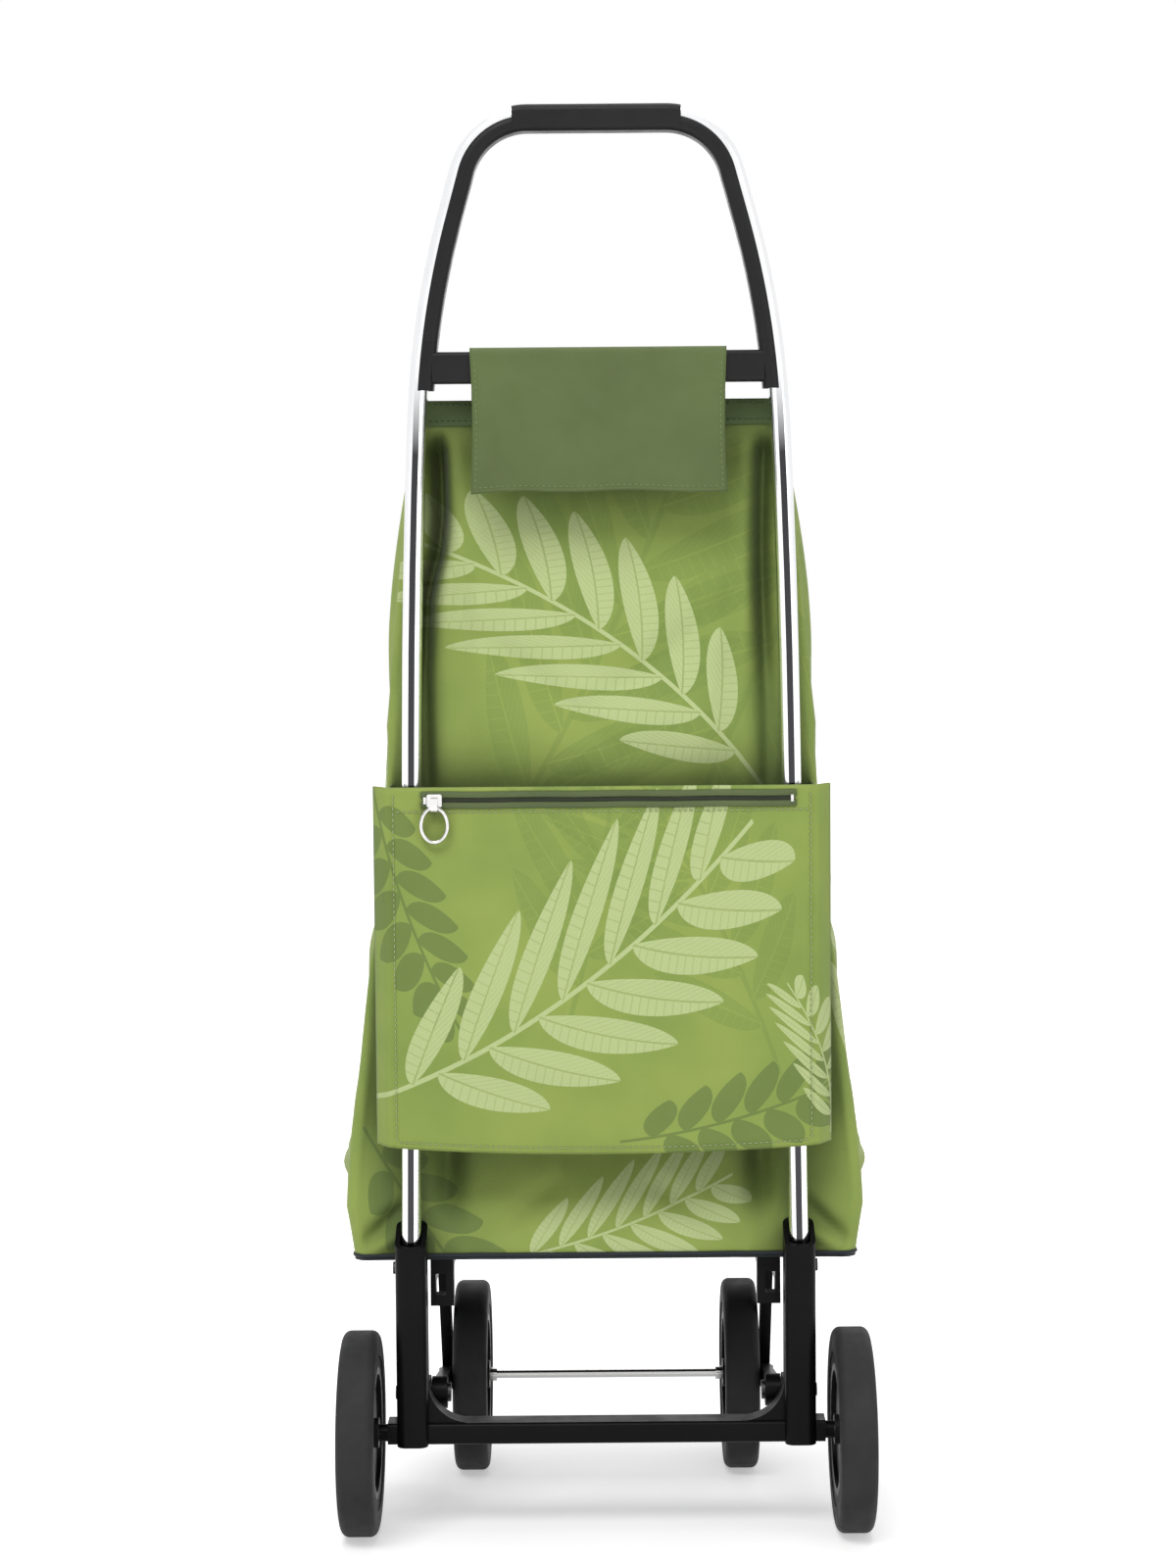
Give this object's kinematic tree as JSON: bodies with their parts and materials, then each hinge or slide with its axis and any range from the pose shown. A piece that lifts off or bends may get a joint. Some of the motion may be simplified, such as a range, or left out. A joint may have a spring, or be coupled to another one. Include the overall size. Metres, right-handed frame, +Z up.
{
  "type": "shopping trolley",
  "caption": "four-wheeled shopping trolley with a green leaf-print fabric bag, a bent aluminium tube frame and black plastic handle and chassis",
  "frame": {"origin": "on the floor, centred below the whole trolley", "axes": "+Z up; the handle and the user are on the -Y side, the front wheels and the front of the bag on the +Y side; X runs along the axles"},
  "size_m": [0.3934, 0.3454, 1.0519],
  "materials": {
    "aluminium": "polished bright",
    "grip_plastic": "fine satin",
    "chassis_plastic": "fine satin",
    "rim_plastic": "satin",
    "tyre_foam": "matte foam",
    "steel": "plain",
    "black_steel": "black zinc",
    "chrome": "bright",
    "bag_cloth": null,
    "hem_cloth": "plain dark green polyester",
    "zip_cloth": "dark green tape",
    "base_cloth": "dark stiffened cloth"
  },
  "bodies": {
    "frame": {"frame_tube": "aluminium", "handle_grip": "grip_plastic", "grip_liner_left": "grip_plastic", "grip_liner_right": "grip_plastic", "handle_crossbar": "grip_plastic", "rear_chassis": "chassis_plastic", "tube_rivets": "black_steel", "rear_axle": "steel", "rear_axle_caps": "black_steel", "rear_wheel_spacers": "chassis_plastic", "front_pivot_pins": "black_steel", "front_pivot_caps": "black_steel", "flap_strap": "hem_cloth"},
    "front_frame": {"front_arm_left": "chassis_plastic", "front_arm_right": "chassis_plastic", "bag_tray": "chassis_plastic", "tray_screws": "steel", "front_axle": "chrome", "front_axle_caps": "black_steel", "front_wheel_spacers": "chassis_plastic", "front_axle_collars": "chrome"},
    "rear_wheel_left": {"rear_tyre_left": "tyre_foam", "rear_rim_left": "rim_plastic"},
    "rear_wheel_right": {"rear_tyre_right": "tyre_foam", "rear_rim_right": "rim_plastic"},
    "front_wheel_left": {"front_tyre_left": "tyre_foam", "front_rim_left": "rim_plastic"},
    "front_wheel_right": {"front_tyre_right": "tyre_foam", "front_rim_right": "rim_plastic"},
    "bag": {"bag_shell": "bag_cloth", "bag_hem": "hem_cloth", "bag_bottom": "base_cloth", "base_board": "base_cloth", "rear_pocket": "bag_cloth", "zip_tape": "zip_cloth", "zip_chain": "zip_cloth", "zip_stops": "chrome"},
    "flap": {"hanging_flap": "hem_cloth"},
    "slider": {"zip_slider": "chrome"},
    "puller": {"ring_puller": "chrome"}
  },
  "joints": [
    {"name": "rear_wheel_left_spin", "type": "hinge", "parent": "frame", "child": "rear_wheel_left", "pos_m": [-0.1832, -0.0923, 0.075], "axis": [1, 0, 0], "continuous": true},
    {"name": "rear_wheel_right_spin", "type": "hinge", "parent": "frame", "child": "rear_wheel_right", "pos_m": [0.1832, -0.0923, 0.075], "axis": [1, 0, 0], "continuous": true},
    {"name": "front_wheel_left_spin", "type": "hinge", "parent": "front_frame", "child": "front_wheel_left", "pos_m": [-0.1076, 0.09771, 0.075], "axis": [1, 0, 0], "continuous": true},
    {"name": "front_wheel_right_spin", "type": "hinge", "parent": "front_frame", "child": "front_wheel_right", "pos_m": [0.1076, 0.09771, 0.075], "axis": [1, 0, 0], "continuous": true},
    {"name": "front_frame_fold", "type": "hinge", "parent": "frame", "child": "front_frame", "pos_m": [0, -0.0623, 0.098], "axis": [1, 0, 0], "range_deg": [0, 88]},
    {"name": "bag_rise", "type": "slide", "parent": "frame", "child": "bag", "axis": [0, -0.0698, 0.9976], "range_m": [0, 0.155]},
    {"name": "flap_lift", "type": "hinge", "parent": "frame", "child": "flap", "pos_m": [0, -0.16155, 0.87477], "axis": [-1, 0, 0], "range_deg": [0, 110]},
    {"name": "zip_slide", "type": "slide", "parent": "bag", "child": "slider", "axis": [1, 0, 0], "range_m": [0, 0.254]},
    {"name": "puller_swing", "type": "hinge", "parent": "slider", "child": "puller", "pos_m": [-0.122, -0.14787, 0.54296], "axis": [-1, 0, 0], "range_deg": [0, 120]}
  ],
  "couplings": [
    {"joint": "bag_rise", "follows": "front_frame_fold", "m_per_rad": 0.1}
  ]
}
